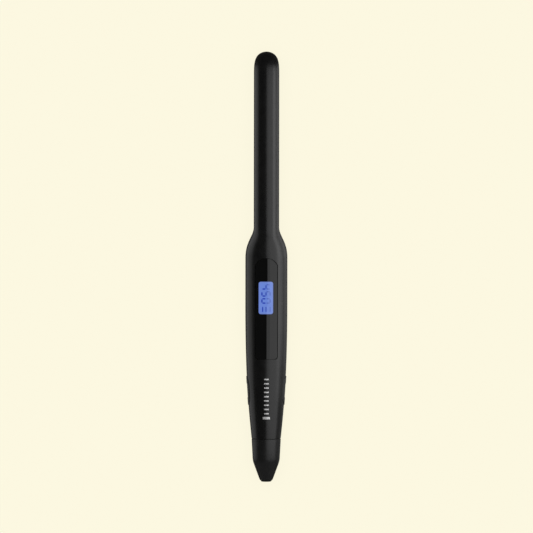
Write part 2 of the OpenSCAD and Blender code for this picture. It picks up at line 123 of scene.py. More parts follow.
def slope(s):
    """How fast the outer radius grows with the station."""
    s = np.asarray(s, float)
    u = np.clip((s - DOME_S) / TIP_LEN, 0, 0.9999)
    steepness = u ** (TIP_POWER - 1) / np.sqrt(1 - u ** TIP_POWER)
    dome = -BARREL_R * TIP_POWER / (2 * TIP_LEN) * steepness
    return np.where(s > DOME_S, dome, np.interp(s, OUTLINE[:, 0], SLOPE))


def place(x, s, z):
    """Points of the shared frame, in metres, from x, a station and a height above the axis."""
    parts = np.broadcast_arrays(x, np.asarray(s) - HALF, np.asarray(z) + AXIS)
    return np.stack(parts, axis=-1) * MM


# ---- Mesh helpers ---------------------------------------------------------------

def make_piece(name, verts, faces):
    """A mesh object with outward faces, smooth but for its sharp edges."""
    mesh = bpy.data.meshes.new(name)
    mesh.from_pydata([tuple(v) for v in verts], [], [tuple(int(i) for i in f) for f in faces])
    bm = bmesh.new()
    bm.from_mesh(mesh)
    bmesh.ops.remove_doubles(bm, verts=bm.verts, dist=1e-7)
    bmesh.ops.recalc_face_normals(bm, faces=bm.faces)
    bm.to_mesh(mesh)
    bm.free()
    mesh.shade_smooth()
    mesh.set_sharp_from_angle(angle=SHARP)
    obj = bpy.data.objects.new(name, mesh)
    bpy.context.scene.collection.objects.link(obj)
    return obj


def loft(rows):
    """Vertices and faces of a solid through closed rows, each half outer, half inner points."""
    rows = np.array(rows)
    count, ring = rows.shape[:2]
    half = ring // 2
    faces = []
    for j in range(count - 1):
        for k in range(ring):
            m = (k + 1) % ring
            faces.append((j * ring + k, j * ring + m, (j + 1) * ring + m, (j + 1) * ring + k))
    last = (count - 1) * ring
    for k in range(half - 1):
        faces.append((ring - 1 - k, ring - 2 - k, k + 1, k))
        faces.append((last + k, last + k + 1, last + ring - 2 - k, last + ring - 1 - k))
    return rows.reshape(-1, 3), faces


def lathe(name, outline, steps=128):
    """A solid turned about the iron's axis from a closed outline of (radius, station) points."""
    outline = np.array(outline, float)
    v = np.arange(steps) * 2 * np.pi / steps
    count = len(outline)
    verts = [place(r * np.cos(v), s, r * np.sin(v)) for r, s in outline]
    faces = []
    for j in range(count):
        for k in range(steps):
            m, n = (k + 1) % steps, (j + 1) % count
            faces.append((j * steps + k, j * steps + m, n * steps + m, n * steps + k))
    return make_piece(name, np.concatenate(verts), faces)


def cut(obj, cutter):
    """Takes the cutter's space out of obj."""
    modifier = obj.modifiers.new("cut", "BOOLEAN")
    modifier.operation = "DIFFERENCE"
    modifier.solver = "EXACT"
    modifier.object = cutter
    evaluated = obj.evaluated_get(bpy.context.evaluated_depsgraph_get())
    mesh = bpy.data.meshes.new_from_object(evaluated)
    obj.modifiers.clear()
    obj.data = mesh
    mesh.shade_smooth()
    mesh.set_sharp_from_angle(angle=SHARP)
    bpy.data.objects.remove(cutter)


def true_normals(obj, rise=0.0):
    """Gives the faces that lie on the arms' turned surface that surface's own normals."""
    mesh = obj.data
    normals = np.empty(len(mesh.loops) * 3, np.float32)
    mesh.corner_normals.foreach_get("vector", normals)
    normals = normals.reshape(-1, 3)
    co = np.empty(len(mesh.vertices) * 3)
    mesh.vertices.foreach_get("co", co)
    co = co.reshape(-1, 3) / MM
    x, s, z = co[:, 0], co[:, 1] + HALF, co[:, 2] - AXIS
    rho = np.hypot(x, z)
    tolerance = 0.012
    on_surface = np.abs(rho - radius(s) - rise) < tolerance
    turned = np.stack([x / rho, -slope(s), z / rho], axis=1)
    turned /= np.linalg.norm(turned, axis=1)[:, None]
    for polygon in mesh.polygons:
        loops = range(polygon.loop_start, polygon.loop_start + polygon.loop_total)
        points = [mesh.loops[i].vertex_index for i in loops]
        if on_surface[points].all() and np.dot(turned[points[0]], polygon.normal) > 0.9:
            normals[list(loops)] = turned[points]
    mesh.normals_split_custom_set(normals.tolist())


# ---- The half-round shells --------------------------------------------------------

ARC_STEPS, FLAT_STEPS, CORNER_STEPS = 36, 12, 4

# Distances from a plain end, in mm, and shares of the way from a round one, for its soft edge
NEAR_PLAIN_END = [0, 0.03, 0.07, 0.12, 0.18, EDGE]
NEAR_ROUND_END = [0, 0.002, 0.005, 0.009, 0.014, 0.02]


def section(r_out, r_in, part, belly=None):
    """Outer and inner points (x, z) across a half shell, with a softened parting edge.

    belly is how far the outside may reach from the axis before it is cut flat.
    """
    corner = min(EDGE, 0.3 * (r_out - part))
    start = math.asin(part / r_out)
    turn = corner / r_out
    a = np.array((math.sqrt((r_out - corner) ** 2 - part ** 2), part))
    b = np.array((math.sqrt(r_out ** 2 - part ** 2), part))
    c = np.array((r_out * math.cos(start + turn), r_out * math.sin(start + turn)))
    t = np.linspace(0, 1, CORNER_STEPS, endpoint=False)[:, None]
    rounding = (1 - t) ** 2 * a + 2 * t * (1 - t) * b + t * t * c
    flat = math.acos(min(1.0, belly / r_out)) if belly else 0.0
    flat = max(flat, math.radians(3))
    angles = np.concatenate([
        np.linspace(start + turn, math.pi / 2 - flat, ARC_STEPS, endpoint=False),
        np.linspace(math.pi / 2 - flat, math.pi / 2 + flat, FLAT_STEPS, endpoint=False),
        np.linspace(math.pi / 2 + flat, math.pi - start - turn, ARC_STEPS + 1),
    ])
    sweep = r_out * np.stack([np.cos(angles), np.sin(angles)], axis=1)
    outer = np.concatenate([rounding, sweep, (rounding * [-1, 1])[::-1]])
    inner_start = math.asin(part / r_in)
    angles = np.linspace(inner_start, math.pi - inner_start, len(outer))
    inner = r_in * np.stack([np.cos(angles), np.sin(angles)], axis=1)
    if belly:
        outer[:, 1] = np.minimum(outer[:, 1], belly)
    return outer, inner


def end_drop(distance):
    """How much lower the shell's surface is near an end, for a softened edge."""
    d = np.clip(distance / EDGE, 0, 1)
    return EDGE * (1 - np.sqrt(1 - (1 - d) ** 2))


def end_station(sines, radii, reach):
    """Stations where the shell meets a round end of that reach about the hinge pin."""
    s = np.full(len(sines), HINGE_S + 8.0)
    for _ in range(30):
        height = radii(s) * sines
        s = HINGE_S + np.sqrt(np.maximum(reach ** 2 - height ** 2, 0.01))
    return s


def row(outer, inner, s_out, s_in, side):
    """One closed row of a shell's loft, on the upper or the lower side."""
    top = place(outer[:, 0], s_out, side * outer[:, 1])
    s_in = np.broadcast_to(s_in, len(inner))
    under = place(inner[::-1, 0], s_in[::-1], side * inner[::-1, 1])
    return np.concatenate([top, under])


def plain_rows(stations, part, side, belly=None, ends=()):
    """Rows across the iron at plain stations."""
    rows = []
    for s in stations:
        r = float(radius(s))
        drop = sum(float(end_drop(abs(s - e))) for e in ends)
        outer, inner = section(r - drop, r - WALL, part, belly)
        rows.append(row(outer, inner, s, s, side))
    return rows


def tip_rows(side):
    """Rows of the rounded tip, down to a small nub."""
    rows = []
    inner_r = BARREL_R - WALL
    nub_r = 0.5
    for v in np.linspace(0, math.acos(nub_r / inner_r), 48)[1:]:
        outer, inner = section(BARREL_R * math.cos(v), inner_r * math.cos(v), PART)
        along = math.sin(v) ** (2 / TIP_POWER)
        s_out = DOME_S + TIP_LEN * along
        s_in = DOME_S + (TIP_LEN - WALL) * along
        rows.append(row(outer, inner, s_out, s_in, side))
    return rows


def hinged_rows(reach, shares, side, part, plain, belly=None):
    """Rows at shares of the way from the round end about the hinge pin to a plain station."""
    r = float(radius(ROUND_S))
    outer, inner = section(r, r - WALL, part, belly)
    unit_out, unit_in = outer / r, inner / (r - WALL)
    s_end = end_station(unit_out[:, 1], radius, reach)
    s_end_in = end_station(unit_in[:, 1], lambda s: radius(s) - WALL, reach)
    rows = []
    for t in shares:
        s_out = s_end + (plain - s_end) * t
        s_in = s_end_in + (plain - s_end_in) * t
        r_out = radius(s_out) - end_drop(np.abs(s_out - s_end))
        scaled_out = unit_out * r_out[:, None]
        scaled_in = unit_in * (radius(s_in) - WALL)[:, None]
        if belly:
            scaled_out[:, 1] = np.minimum(scaled_out[:, 1], belly)
        rows.append(row(scaled_out, scaled_in, s_out, s_in, side))
    return rows


def housing_rows(end, count, side):
    """Rows of the hinge housing, from the tail's seam."""
    stations = [ARM_S + d for d in NEAR_PLAIN_END] + [*np.linspace(ARM_S + 1, end, count)]
    return plain_rows(stations, HOUSING_PART, side, ends=[ARM_S])


def arm_rows(start, count, side, belly=None):
    """Rows of an arm, from a station on the grip to its tip."""
    grip = np.linspace(start, SHOULDER_S, count)
    shoulder = np.linspace(SHOULDER_S + 0.6, BARREL_S, 50)
    barrel = np.linspace(BARREL_S + 2, DOME_S, 40)
    return plain_rows([*grip, *shoulder, *barrel], PART, side, belly) + tip_rows(side)


def upper_shell_mesh():
    """The display arm's shell, in one with the upper half of the hinge housing."""
    housing_end = HINGE_S + HOUSING_R
    return loft(housing_rows(housing_end, 44, 1) + arm_rows(housing_end + 0.05, 56, 1))


def lower_shell_mesh():
    """The lower arm's shell, from its round end at the hinge."""
    join = 80
    shares = [*NEAR_ROUND_END, *np.linspace(0.06, 0.95, 16)]
    rows = hinged_rows(ARM_END_R, shares, -1, PART, join, belly=AXIS)
    return loft(rows + arm_rows(join, 50, -1, belly=AXIS))


def housing_cover_mesh():
    """The underside of the hinge housing, up to its round end."""
    join = 50
    shares = [*NEAR_ROUND_END, *np.linspace(0.06, 0.95, 20)]
    rows = housing_rows(join, 24, -1)
    return loft(rows + hinged_rows(HOUSING_R, shares[::-1], -1, HOUSING_PART, join))


# ---- Inlays: the panel, the window, the flank covers, marks --------------------------

def closed_outline(points, spacing):
    """An outline with extra points, so that no stretch of it is longer than spacing."""
    out = []
    for a, b in zip(points, np.roll(points, -1, axis=0), strict=True):
        count = max(1, math.ceil(np.linalg.norm(b - a) / spacing))
        out += [a + (b - a) * i / count for i in range(count)]
    return np.array(out)


def outward(points):
    """Outward unit normals of a counter-clockwise outline."""
    along = np.roll(points, -1, axis=0) - np.roll(points, 1, axis=0)
    normal = np.stack([along[:, 1], -along[:, 0]], axis=1)
    return normal / np.linalg.norm(normal, axis=1)[:, None]


class Inlays:
    """Thin solids that follow the arms' surface: each is an outline of (across, station) points.

    rise is the face's height over the surface, and depth is the solid's thickness. edge
    rounds the face's edge, grow widens the outline, and turn carries it round the iron's
    axis, in degrees. rings and spacing set how closely the mesh follows the surface.
    """

    SMALLEST = 0.04  # how far in the innermost ring lies, as a share of the outline

    def __init__(self):
        self.verts = []
        self.faces = []

    def add(
        self, outline, rise, depth, edge=0.0, rings=10, turn=0.0, spacing=2.0, grow=0.0, dish=None,
    ):
        points = closed_outline(np.array(outline, float), spacing)
        normals = outward(points)
        points = points + normals * grow
        centre = points.mean(axis=0)
        layers = []
        steps = 6 if edge else 0
        for d in np.linspace(0, edge, steps, endpoint=False):
            drop = edge - math.sqrt(edge ** 2 - (edge - d) ** 2)
            layers.append((points - normals * d, rise - drop))
        inside = points - normals * edge
        floor = rise
        if dish:
            sunk, inside, floor = self.dish_layers(inside, centre, rise, *dish)
            layers += sunk
        for k in np.linspace(1, self.SMALLEST, rings):
            layers.append((centre + (inside - centre) * k, floor))
        last = len(layers) - 1
        for k in np.linspace(self.SMALLEST, 1, max(2, rings // 2)):
            layers.append((centre + (points - centre) * k, rise - depth))
        self.add_layers(layers, last, math.radians(turn))

    @staticmethod
    def dish_layers(inside, centre, rise, dish_r, drop, slant):
        """A flat rim and a smooth step down to a round floor; also the floor's edge and height."""
        rays = (inside - centre) / np.linalg.norm(inside - centre, axis=1)[:, None]
        rim = centre + rays * (dish_r + slant / 2)
        shares = np.linspace(0, 1, 8, endpoint=False)
        layers = [(inside + (rim - inside) * k, rise) for k in shares]
        layers += [(rim - rays * slant * k, rise - drop * k * k * (3 - 2 * k)) for k in shares]
        return layers, rim - rays * slant, rise - drop

    def add_layers(self, layers, last, turn):
        """Skins a ring of layers, and closes the gap after the last upper one with two caps."""
        base, count = sum(len(v) for v in self.verts), len(layers[0][0])
        c, s = math.cos(turn), math.sin(turn)
        for ring, height in layers:
            up = np.sqrt((radius(ring[:, 1]) + height) ** 2 - ring[:, 0] ** 2)
            self.verts.append(place(ring[:, 0] * c + up * s, ring[:, 1], up * c - ring[:, 0] * s))
        for j in range(len(layers)):
            near = base + j * count
            far = base + (j + 1) % len(layers) * count
            if j == last:
                self.faces.append([near + k for k in range(count)])
                self.faces.append([far + k for k in range(count)][::-1])
                continue
            for k in range(count):
                m = (k + 1) % count
                self.faces.append([near + k, near + m, far + m, far + k])

    def piece(self, name):
        return make_piece(name, np.concatenate(self.verts), self.faces)


def inlay(name, outline, **options):
    """A piece that is a single inlay."""
    inlays = Inlays()
    inlays.add(outline, **options)
    return inlays.piece(name)


PANEL_LO, PANEL_HI = (np.array(c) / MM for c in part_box("display_panel"))
WINDOW_LO, WINDOW_HI = (np.array(c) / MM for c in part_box("display_window"))
WINDOW_X = (WINDOW_LO[0] + WINDOW_HI[0]) / 2
WINDOW_S = (WINDOW_LO[1] + WINDOW_HI[1]) / 2 + HALF
WINDOW_W = WINDOW_HI[0] - WINDOW_LO[0]
WINDOW_LEN = WINDOW_HI[1] - WINDOW_LO[1]


def panel_outline():
    """Rounded corners at the tail's end and an arch at the tip's end."""
    w = (PANEL_HI[0] - PANEL_LO[0]) / 2
    start, end = PANEL_LO[1] + HALF, PANEL_HI[1] + HALF
    corner, arch = 1.6, 7.7  # radii
    spread = math.degrees(math.acos(w / arch))
    return np.concatenate([
        arc((-w + corner, start + corner), corner, 180, 270, 8),
        arc((w - corner, start + corner), corner, 270, 360, 8),
        arc((0, end - arch), arch, spread, 180 - spread, 32),
    ])


def window_outline():
    """A rectangle with rounded corners."""
    r = 1.5
    w, half = WINDOW_W / 2 - r, WINDOW_LEN / 2 - r
    corners = [(w, half, 0), (-w, half, 90), (-w, -half, 180), (w, -half, 270)]
    return np.concatenate([
        arc((WINDOW_X + x, WINDOW_S + y), r, start, start + 90, 6) for x, y, start in corners
    ])


def cap_outline():
    """The upright slot shape of a flank cover, seen from the side."""
    lo, hi = (np.array(c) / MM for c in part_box("hinge_caps"))
    r = (hi[2] - lo[2]) / 2
    reach = (hi[1] - lo[1]) / 2 - r
    return np.concatenate([
        arc((0, HINGE_S - reach), r, 180, 360, 24),
        arc((0, HINGE_S + reach), r, 0, 180, 24),
    ])


# ---- Materials ------------------------------------------------------------------------

def srgb(*values):
    """Linear colour, with alpha, from 8-bit sRGB values."""
    parts = [v / 255 for v in values]
    linear = [v / 12.92 if v <= 0.04045 else ((v + 0.055) / 1.055) ** 2.4 for v in parts]
    return (*linear, 1.0)


class Material:
    """A Principled material with small helpers for its node tree."""

    def __init__(self, name, colour, roughness, **sockets):
        self.mat = bpy.data.materials.new(name)
        self.mat.use_nodes = True
        self.tree = self.mat.node_tree
        self.bsdf = self.tree.nodes["Principled BSDF"]
        self.coords = self.node("ShaderNodeTexCoord").outputs["Object"]
        self.bsdf.inputs["Base Color"].default_value = (*colour, 1.0)
        self.bsdf.inputs["Roughness"].default_value = roughness
        for key, value in sockets.items():
            self.bsdf.inputs[key.replace("_", " ")].default_value = value

    def node(self, kind, **inputs):
        n = self.tree.nodes.new(kind)
        for key, value in inputs.items():
            n.inputs[key.replace("_", " ")].default_value = value
        return n

    def link(self, a, b):
        self.tree.links.new(a, b)

    def maths(self, operation, *values):
        """A maths node's output; each value is a number or another node's output."""
        n = self.node("ShaderNodeMath")
        n.operation = operation
        for socket, value in zip(n.inputs, values, strict=False):
            if isinstance(value, bpy.types.NodeSocket):
                self.link(value, socket)
            else:
                socket.default_value = value
        return n.outputs[0]

    def axis(self, name):
        """One of the object coordinates."""
        n = self.node("ShaderNodeSeparateXYZ")
        self.link(self.coords, n.inputs["Vector"])
        return n.outputs[name]

    def share(self, value, low, high):
        """How far a value is from low to high, between 0 and 1."""
        n = self.node("ShaderNodeMapRange", From_Min=low, From_Max=high, To_Min=0.0, To_Max=1.0)
        self.link(value, n.inputs["Value"])
        return n.outputs["Result"]

    def ramp(self, fac, first, last, *between):
        """Colours along a factor; each is a position and a colour."""
        n = self.node("ShaderNodeValToRGB")
        stops = n.color_ramp.elements
        for stop, (position, colour) in zip(stops, (first, last), strict=True):
            stop.position = position
            stop.color = colour
        for position, colour in between:
            stops.new(position).color = colour
        self.link(fac, n.inputs["Fac"])
        return n.outputs["Color"]

    def glow(self, colour):
        """Light given off by the surface itself."""
        self.link(colour, self.bsdf.inputs["Emission Color"])
        self.bsdf.inputs["Emission Strength"].default_value = 1.0

    def noise(self, scale, detail=3.0, stretch=(1, 1, 1)):
        mapping = self.node("ShaderNodeMapping")
        mapping.inputs["Scale"].default_value = stretch
        self.link(self.coords, mapping.inputs["Vector"])
        n = self.node("ShaderNodeTexNoise", Scale=scale, Detail=detail)
        self.link(mapping.outputs["Vector"], n.inputs["Vector"])
        return n.outputs["Fac"]

    def spread(self, fac, low, high):
        """Maps a noise's middle range onto low to high."""
        n = self.node("ShaderNodeMapRange", From_Min=0.3, From_Max=0.7, To_Min=low, To_Max=high)
        self.link(fac, n.inputs["Value"])
        return n.outputs["Result"]

    def vary_colour(self, fac, low, high):
        colour = self.ramp(fac, (0.35, (*low, 1.0)), (0.65, (*high, 1.0)))
        self.link(colour, self.bsdf.inputs["Base Color"])

    def vary_roughness(self, fac, low, high):
        self.link(self.spread(fac, low, high), self.bsdf.inputs["Roughness"])

    def bump(self, fac, height, strength=1.0):
        n = self.node("ShaderNodeBump", Strength=strength, Distance=height)
        self.link(fac, n.inputs["Height"])
        self.link(n.outputs["Normal"], self.bsdf.inputs["Normal"])


def satin_black():
    """Moulded black shell: satin, with a very fine grain and faint handling marks."""
    m = Material("satin_black", (0.006, 0.006, 0.0062), 0.27, IOR=1.5)
    m.vary_colour(m.noise(260), (0.0045, 0.0045, 0.0047), (0.0075, 0.0075, 0.0077))
    m.vary_roughness(m.noise(90, 5, (1, 0.25, 1)), 0.25, 0.31)
    m.bump(m.noise(9000, 2), 0.000004, 0.35)
    return m.mat


def tail_black():
    """The tail's moulding: the same black, with a broader sheen."""
    m = Material("tail_black", (0.0085, 0.0085, 0.0087), 0.36, IOR=1.5)
    m.vary_colour(m.noise(260), (0.007, 0.007, 0.0072), (0.0105, 0.0105, 0.0107))
    m.vary_roughness(m.noise(110, 5), 0.34, 0.4)
    m.bump(m.noise(8000, 2), 0.000005, 0.4)
    return m.mat


def cap_black():
    """Flank covers: the shell's black with a slightly coarser grain."""
    m = Material("cap_black", (0.007, 0.007, 0.0072), 0.3, IOR=1.5)
    m.vary_colour(m.noise(400), (0.0055, 0.0055, 0.0057), (0.0085, 0.0085, 0.0087))
    m.vary_roughness(m.noise(140, 4), 0.28, 0.35)
    m.bump(m.noise(7000, 2), 0.000006, 0.4)
    return m.mat


def gloss_black():
    """Polished display panel, with faint smudges."""
    m = Material("gloss_black", (0.003, 0.003, 0.0031), 0.03, IOR=1.5)
    m.vary_colour(m.noise(60), (0.0025, 0.0025, 0.0026), (0.0036, 0.0036, 0.0037))
    m.vary_roughness(m.noise(45, 6, (1, 0.5, 1)), 0.02, 0.055)
    return m.mat


def textured_black():
    """Inner covers: a spark-eroded matte black."""
    m = Material("textured_black", (0.018, 0.018, 0.0185), 0.55, IOR=1.5)
    m.vary_colour(m.noise(900, 4), (0.013, 0.013, 0.0133), (0.024, 0.024, 0.0245))
    m.vary_roughness(m.noise(500, 4), 0.48, 0.62)
    m.bump(m.noise(5200, 3), 0.00002, 0.5)
    return m.mat


def plate_coating():
    """Ceramic coating on the hair plates: dark, with a fine metallic shimmer."""
    m = Material(
        "plate_coating", (0.06, 0.055, 0.055), 0.3,
        Metallic=0.55, Coat_Weight=0.25, Coat_Roughness=0.15,
    )
    m.vary_colour(m.noise(6000, 2), (0.045, 0.041, 0.041), (0.09, 0.083, 0.082))
    m.vary_roughness(m.noise(300, 4, (1, 0.1, 1)), 0.25, 0.38)
    m.bump(m.noise(8000, 2), 0.000003, 0.4)
    return m.mat


def brushed_metal(name, colour, roughness):
    """Metal or a metallic finish, brushed along the iron."""
    m = Material(name, colour, roughness, Metallic=1.0)
    low = tuple(c * 0.8 for c in colour)
    m.vary_colour(m.noise(700, 4, (1, 0.15, 1)), low, colour)
    m.vary_roughness(m.noise(1500, 4, (1, 0.1, 1)), roughness * 0.8, roughness * 1.3)
    m.bump(m.noise(2500, 3, (1, 0.1, 1)), 0.000004, 0.5)
    return m.mat


def plain_moulding(name, colour, roughness):
    """A moulded or fired part with slight mottling and a fine grain."""
    m = Material(name, colour, roughness, IOR=1.5)
    low, high = tuple(c * 0.82 for c in colour), tuple(min(1, c * 1.12) for c in colour)
    m.vary_colour(m.noise(350, 4), low, high)
    m.vary_roughness(m.noise(240, 4), roughness * 0.88, min(1, roughness * 1.15))
    m.bump(m.noise(3000, 3), 0.00001, 0.4)
    return m.mat


def soft_rubber():
    """The cord gland: dull and slightly rough."""
    m = Material("soft_rubber", (0.012, 0.012, 0.012), 0.65, IOR=1.5)
    m.vary_colour(m.noise(800, 4), (0.009, 0.009, 0.009), (0.017, 0.017, 0.0165))
    m.vary_roughness(m.noise(600, 4), 0.58, 0.75)
    m.bump(m.noise(4000, 3), 0.00002, 0.5)
    return m.mat


def circuit_green():
    """Solder mask over faint copper traces."""
    m = Material(
        "circuit_green", (0.02, 0.11, 0.05), 0.35, IOR=1.5, Coat_Weight=0.3, Coat_Roughness=0.2,
    )
    traces = m.node(
        "ShaderNodeTexBrick", Scale=420.0, Mortar_Size=0.04,
        Color1=(0.015, 0.1, 0.045, 1), Color2=(0.018, 0.12, 0.05, 1), Mortar=(0.05, 0.2, 0.08, 1),
    )
    m.link(m.coords, traces.inputs["Vector"])
    m.link(traces.outputs["Color"], m.bsdf.inputs["Base Color"])
    m.vary_roughness(m.noise(500, 3), 0.3, 0.42)
    return m.mat


def lit_window():
    """The display: an even blue light, deeper towards its rim, behind a polished face."""
    m = Material("lit_window", (0.01, 0.012, 0.03), 0.03, IOR=1.5)
    sides = (("X", WINDOW_X, WINDOW_W), ("Y", WINDOW_S - HALF, WINDOW_LEN))
    inward = []
    for axis, centre, size in sides:
        offset = m.maths("SUBTRACT", m.axis(axis), centre * MM)
        inward.append(m.maths("SUBTRACT", size / 2 * MM, m.maths("ABSOLUTE", offset)))
    nearest = m.maths("SMOOTH_MIN", *inward, 0.0009)
    rim, middle, inside = srgb(88, 108, 178), srgb(110, 134, 203), srgb(102, 130, 208)
    reach = m.share(nearest, -0.0001, 0.0011)
    light = m.ramp(reach, (0, rim), (1, inside), (0.55, middle))
    mottled = m.node("ShaderNodeMix")
    mottled.data_type = "RGBA"
    mottled.blend_type = "MULTIPLY"
    factor, base, layer = (mottled.inputs[i] for i in (0, 6, 7))
    factor.default_value = 1.0
    m.link(light, base)
    m.link(m.spread(m.noise(260, 3), 0.95, 1.05), layer)
    m.glow(mottled.outputs[2])
    return m.mat


def digit_blue_with_painted_reflection():
    """The display's dark segments under the same polished face; their glow holds a painted reflection, lighter
    right of the iron's axis towards their tops.
    """
    m = Material("digit_blue_with_painted_reflection", (0.008, 0.01, 0.03), 0.03, IOR=1.5)
    m.vary_colour(m.noise(500, 2), (0.007, 0.009, 0.027), (0.01, 0.013, 0.035))
    # Painted reflection: the segments glow lighter right of the iron's axis, where the right-hand strips' light
    # falls.
    across = m.share(m.axis("X"), -0.0008, 0.0012)
    m.glow(m.ramp(across, (0, srgb(36, 60, 168)), (1, srgb(84, 108, 184))))
    return m.mat


def silver_print():
    """The printed dashes."""
    m = Material("silver_print", (0.8, 0.8, 0.8), 0.35, Metallic=0.5)
    m.vary_colour(m.noise(3000, 3), (0.72, 0.72, 0.72), (0.88, 0.88, 0.88))
    m.vary_roughness(m.noise(2500, 3), 0.28, 0.45)
    return m.mat


BY_SLOT = {
    "shell_black": satin_black(),
    "cap_black": cap_black(),
    "inner_black": textured_black(),
    "plate_coating": plate_coating(),
    "ceramic_white": plain_moulding("ceramic_white", (0.78, 0.77, 0.72), 0.4),
    "natural_resin": plain_moulding("natural_resin", (0.6, 0.56, 0.46), 0.5),
    "lead_red": plain_moulding("lead_red", (0.42, 0.02, 0.015), 0.5),
    "bright_steel": brushed_metal("bright_steel", (0.56, 0.56, 0.58), 0.3),
    "fuse_metal": brushed_metal("fuse_metal", (0.7, 0.68, 0.6), 0.35),
    "dark_resin": plain_moulding("dark_resin", (0.022, 0.022, 0.024), 0.5),
    "component_black": plain_moulding("component_black", (0.02, 0.02, 0.022), 0.45),
    "sensor_amber": plain_moulding("sensor_amber", (0.35, 0.09, 0.03), 0.2),
    "panel_gloss": gloss_black(),
    "window_blue": lit_window(),
    "lcd_glass": plain_moulding("lcd_glass", (0.25, 0.3, 0.36), 0.1),
    "diffuser_white": plain_moulding("diffuser_white", (0.8, 0.83, 0.9), 0.45),
    "board_green": circuit_green(),
    "brass": brushed_metal("brass", (0.72, 0.5, 0.2), 0.25),
    "button_silver": brushed_metal("button_silver", (0.5, 0.5, 0.52), 0.28),
    "button_black": plain_moulding("button_black", (0.02, 0.02, 0.022), 0.35),
    "gland_rubber": soft_rubber(),
}
SLOT_OF = {p["node"]: p["material_slot"] for p in frame["record"]["subparts"]}


def finish_piece(obj, body, slot, nodes=(), material=None):
    """Gives a piece its material and its body, and hides the CAD nodes that it stands for.

    The slot's own material is used unless another one is given.
    """
    obj.data.materials.clear()
    obj.data.materials.append(material or BY_SLOT[slot])
    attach(obj, body)
    if nodes:
        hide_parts(*nodes)


# ---- Pieces -----------------------------------------------------------------------------

SIDES = (90, -90)  # turns, in degrees, that carry an inlay from the top to each flank


def build_shells():
    """Both arms' shells and the housing cover, with room for the panel, the caps and the lip."""
    lip_r, axis_r = 8.45, 0.5
    lip = [
        [axis_r, ARM_S - 1], [lip_r, ARM_S - 1], [lip_r, ARM_S + 0.85], [axis_r, ARM_S + 0.85],
    ]
    cap_room = {"rise": 1.0, "depth": 1.9, "grow": 0.15, "spacing": 1.0}
    upper = make_piece("upper_shell_skin", *upper_shell_mesh())
    cut(upper, inlay("panel_cutter", panel_outline(), rise=1.0, depth=2.1, grow=0.36))
    cover = make_piece("housing_cover_skin", *housing_cover_mesh())
    for obj in (upper, cover):
        cut(obj, lathe("lip_cutter", lip, 96))
        for turn in SIDES:
            cut(obj, inlay("cap_cutter", cap_outline(), turn=turn, **cap_room))
    lower = make_piece("lower_shell_skin", *lower_shell_mesh())
    for obj in (upper, cover, lower):
        true_normals(obj)
    finish_piece(upper, "upper_arm", "shell_black", ["upper_shell"])
    finish_piece(cover, "upper_arm", "shell_black", ["housing_cover"])
    finish_piece(lower, "lower_arm", "shell_black", ["lower_shell"])


def build_panel():
    """The polished panel, just below the shell's surface, and the window in it."""
    rise = -0.02
    panel = inlay(
        "display_panel_skin", panel_outline(),
        rise=rise, depth=1.0, edge=0.08, grow=-0.04, rings=24,
    )
    true_normals(panel, rise)
    finish_piece(panel, "upper_arm", "panel_gloss", ["display_panel"])
    window = inlay(
        "display_window_face", window_outline(),
        rise=0.0, depth=0.5, edge=0.05, rings=24, spacing=1.0,
    )
    true_normals(window)
    finish_piece(window, "upper_arm", "window_blue", ["display_window"])


def build_caps():
    """Flank covers, each with a shallow round dish over the pin."""
    form = {"rise": 0.33, "depth": 1.25, "edge": 0.25, "rings": 16, "spacing": 0.6}
    dish = (4.7, 0.22, 0.4)  # radius, depth and the width of the step
    caps = Inlays()
    for turn in SIDES:
        caps.add(cap_outline(), turn=turn, dish=dish, **form)
    finish_piece(caps.piece("hinge_cap_covers"), "upper_arm", "cap_black", ["hinge_caps"])


# How digits and dashes lie on the surface: close points keep their faces above it
PRINT = {"rise": 0.015, "depth": 0.05, "rings": 8, "spacing": 0.3}

# Seven-segment digits: their dark segments, and their middles' stations
SEGMENTS = {"4": "bcfg", "5": "acdfg", "0": "abcdef"}
DIGIT_STATIONS = {"4": 125.5, "5": 121.0, "0": 116.5}
DIGIT_W, DIGIT_H, STROKE = 3.6, 6.1, 0.85
DIGIT_X = -0.2

# The three bars beside them
BAR_STATION, BAR_LEN, BAR_W = 111.1, 3.9, 0.7
BAR_HEIGHTS = (-DIGIT_H / 2 + 0.9, 0.0, DIGIT_H / 2 - STROKE / 2)


def segment_bars():
    """Each segment's two end points, in a digit's own frame: along the text, and up."""
    w, h = DIGIT_W / 2 - STROKE / 2, DIGIT_H / 2 - STROKE / 2
    return {
        "a": ((-w, h), (w, h)),
        "b": ((w, h), (w, 0)),
        "c": ((w, 0), (w, -h)),
        "d": ((-w, -h), (w, -h)),
        "e": ((-w, -h), (-w, 0)),
        "f": ((-w, 0), (-w, h)),
        "g": ((-w, 0), (w, 0)),
    }


def stroke_outline(a, b, width=STROKE):
    """A bar with pointed ends between two points, as an outline of (across, station) points."""
    gap = 0.16  # at each end, so that segments don't touch
    a, b = np.array(a, float), np.array(b, float)
    along = (b - a) / np.linalg.norm(b - a)
    side = np.array([-along[1], along[0]]) * width / 2
    a, b = a + along * gap, b - along * gap
    tip = along * width / 2
    return np.array([a, a + tip + side, b - tip + side, b, b - tip - side, a + tip - side])


def build_display():
    """Dark digits that read from the tip to the tail, tops to the right, and three bars."""
    digits = Inlays()
    for name, station in DIGIT_STATIONS.items():
        for key in SEGMENTS[name]:
            ends = [(DIGIT_X + up, station - along) for along, up in segment_bars()[key]]
            digits.add(stroke_outline(*ends), **PRINT)
    for up in BAR_HEIGHTS:
        ends = [(DIGIT_X + up, BAR_STATION + half) for half in (BAR_LEN / 2, -BAR_LEN / 2)]
        digits.add(stroke_outline(*ends, width=BAR_W), **PRINT)
    piece = digits.piece("display_digits")
    finish_piece(piece, "upper_arm", "window_blue", material=digit_blue_with_painted_reflection())


def rectangle(x, s, half_w, half_len):
    """The outline of a rectangle about a place."""
    corners = ((-1, -1), (1, -1), (1, 1), (-1, 1))
    return [(x + i * half_w, s + j * half_len) for i, j in corners]


